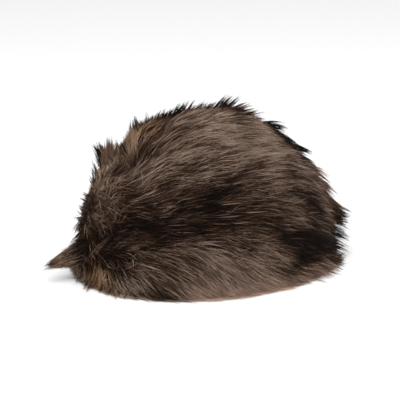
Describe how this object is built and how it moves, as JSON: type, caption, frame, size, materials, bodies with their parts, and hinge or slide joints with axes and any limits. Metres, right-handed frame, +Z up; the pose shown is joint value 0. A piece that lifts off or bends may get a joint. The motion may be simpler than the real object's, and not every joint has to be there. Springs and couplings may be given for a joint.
{
  "type": "fur cap",
  "caption": "Deep fur cap lying on a table: hollow domed crown with a fold and a pointed lobe, and a fur cuff round its base with a tuft.",
  "frame": {"origin": "on the table, at the middle of the cap's length over its tuft and of its width", "axes": "+X from the tuft at the front to the back of the cap, +Z up from the table"},
  "size_m": [0.2986, 0.2154, 0.1507],
  "materials": {
    "crown_fur": "long banded guard hair over dense underfur, matt with a soft sheen",
    "cuff_fur": "long banded guard hair over dense underfur, darker at the seam"
  },
  "bodies": {
    "root": {"crown": "crown_fur", "cuff": "cuff_fur"}
  },
  "joints": []
}
